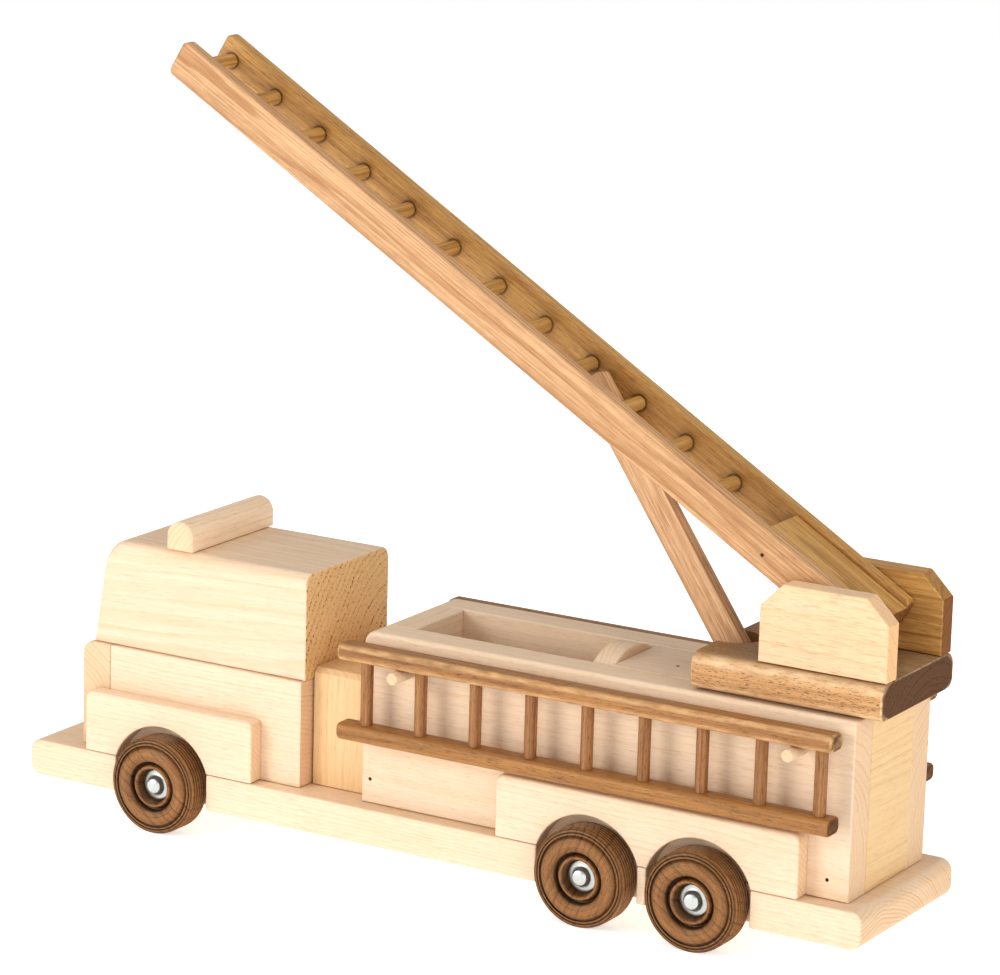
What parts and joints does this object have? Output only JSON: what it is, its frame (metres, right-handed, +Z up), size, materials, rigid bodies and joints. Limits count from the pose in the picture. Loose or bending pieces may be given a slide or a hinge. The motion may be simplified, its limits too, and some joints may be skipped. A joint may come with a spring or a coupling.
{
  "type": "toy fire engine",
  "caption": "Wooden toy fire engine with a block cab, an open hose bed, hung side ladders, turned wheels and a propped aerial ladder on a swivelling turntable.",
  "frame": {"origin": "on the ground under the middle of the chassis", "axes": "+X to the vehicle's left, +Y to the rear, +Z up"},
  "size_m": [0.1238, 0.489, 0.4081],
  "materials": {
    "pine": "pale sanded softwood with orange growth rings, satin",
    "honey_pine": "honey coloured wood with brown streaks, satin",
    "walnut": "open-pored brown hardwood, satin",
    "dark_walnut": "turned dark hardwood, semi-gloss",
    "zinc_steel": "bright zinc plate"
  },
  "bodies": {
    "truck": {"chassis": "pine", "cab_front_board": "pine", "cab_lower_block": "pine", "cab_upper_block": "pine", "light_bar": "pine", "fender_front_left": "pine", "fender_front_right": "pine", "fender_rear_left": "pine", "fender_rear_right": "pine", "body_filler_block": "pine", "bed_side_left": "pine", "bed_side_right": "pine", "bed_front_board": "pine", "bed_partition": "pine", "deck_board": "pine", "rear_panel": "pine", "peg_front_left": "pine", "peg_front_right": "pine", "peg_rear_left": "pine", "peg_rear_right": "pine", "axle_front": "zinc_steel", "axle_middle": "zinc_steel", "axle_rear": "zinc_steel", "axle_cap_front_left": "zinc_steel", "axle_cap_front_right": "zinc_steel", "axle_cap_middle_left": "zinc_steel", "axle_cap_middle_right": "zinc_steel", "axle_cap_rear_left": "zinc_steel", "axle_cap_rear_right": "zinc_steel", "swivel_pin": "pine"},
    "turntable": {"turntable": "walnut", "turntable_cheek_left": "honey_pine", "turntable_cheek_right": "honey_pine", "ladder_pivot_dowel": "pine"},
    "aerial_ladder": {"ladder_rail_left": "honey_pine", "ladder_rail_right": "honey_pine", "ladder_base_block": "honey_pine", "ladder_rung_01": "honey_pine", "ladder_rung_02": "honey_pine", "ladder_rung_03": "honey_pine", "ladder_rung_04": "honey_pine", "ladder_rung_05": "honey_pine", "ladder_rung_06": "honey_pine", "ladder_rung_07": "honey_pine", "ladder_rung_08": "honey_pine", "ladder_rung_09": "honey_pine", "ladder_rung_10": "honey_pine", "ladder_rung_11": "honey_pine", "ladder_rung_12": "honey_pine"},
    "prop": {"ladder_prop": "honey_pine"},
    "side_ladder_left": {"side_ladder_upper_rail_left": "walnut", "side_ladder_lower_rail_with_rungs_left": "walnut"},
    "side_ladder_right": {"side_ladder_upper_rail_right": "walnut", "side_ladder_lower_rail_with_rungs_right": "walnut"},
    "wheel_front_left": {"wheel_front_left": "dark_walnut"},
    "wheel_front_right": {"wheel_front_right": "dark_walnut"},
    "wheel_middle_left": {"wheel_middle_left": "dark_walnut"},
    "wheel_middle_right": {"wheel_middle_right": "dark_walnut"},
    "wheel_rear_left": {"wheel_rear_left": "dark_walnut"},
    "wheel_rear_right": {"wheel_rear_right": "dark_walnut"}
  },
  "joints": [
    {"name": "turntable_swivel", "type": "hinge", "parent": "truck", "child": "turntable", "pos_m": [0, 0.193, 0.126], "axis": [0, 0, 1], "continuous": true},
    {"name": "ladder_raise", "type": "hinge", "parent": "turntable", "child": "aerial_ladder", "pos_m": [0, 0.2121, 0.1698], "axis": [-1, 0, 0], "range_deg": [0, 58]},
    {"name": "prop_fold", "type": "hinge", "parent": "turntable", "child": "prop", "pos_m": [0, 0.1454, 0.1271], "axis": [1, 0, 0], "range_deg": [0, 48]},
    {"name": "side_ladder_left_lift_off", "type": "slide", "parent": "truck", "child": "side_ladder_left", "axis": [1, 0, 0], "range_m": [0, 0.06]},
    {"name": "side_ladder_right_lift_off", "type": "slide", "parent": "truck", "child": "side_ladder_right", "axis": [-1, 0, 0], "range_m": [0, 0.06]},
    {"name": "wheel_front_left_spin", "type": "hinge", "parent": "truck", "child": "wheel_front_left", "pos_m": [0.05195, -0.1604, 0.0254], "axis": [1, 0, 0], "continuous": true},
    {"name": "wheel_front_right_spin", "type": "hinge", "parent": "truck", "child": "wheel_front_right", "pos_m": [-0.05195, -0.1604, 0.0254], "axis": [1, 0, 0], "continuous": true},
    {"name": "wheel_middle_left_spin", "type": "hinge", "parent": "truck", "child": "wheel_middle_left", "pos_m": [0.05195, 0.0943, 0.0254], "axis": [1, 0, 0], "continuous": true},
    {"name": "wheel_middle_right_spin", "type": "hinge", "parent": "truck", "child": "wheel_middle_right", "pos_m": [-0.05195, 0.0943, 0.0254], "axis": [1, 0, 0], "continuous": true},
    {"name": "wheel_rear_left_spin", "type": "hinge", "parent": "truck", "child": "wheel_rear_left", "pos_m": [0.05195, 0.1564, 0.0254], "axis": [1, 0, 0], "continuous": true},
    {"name": "wheel_rear_right_spin", "type": "hinge", "parent": "truck", "child": "wheel_rear_right", "pos_m": [-0.05195, 0.1564, 0.0254], "axis": [1, 0, 0], "continuous": true}
  ]
}
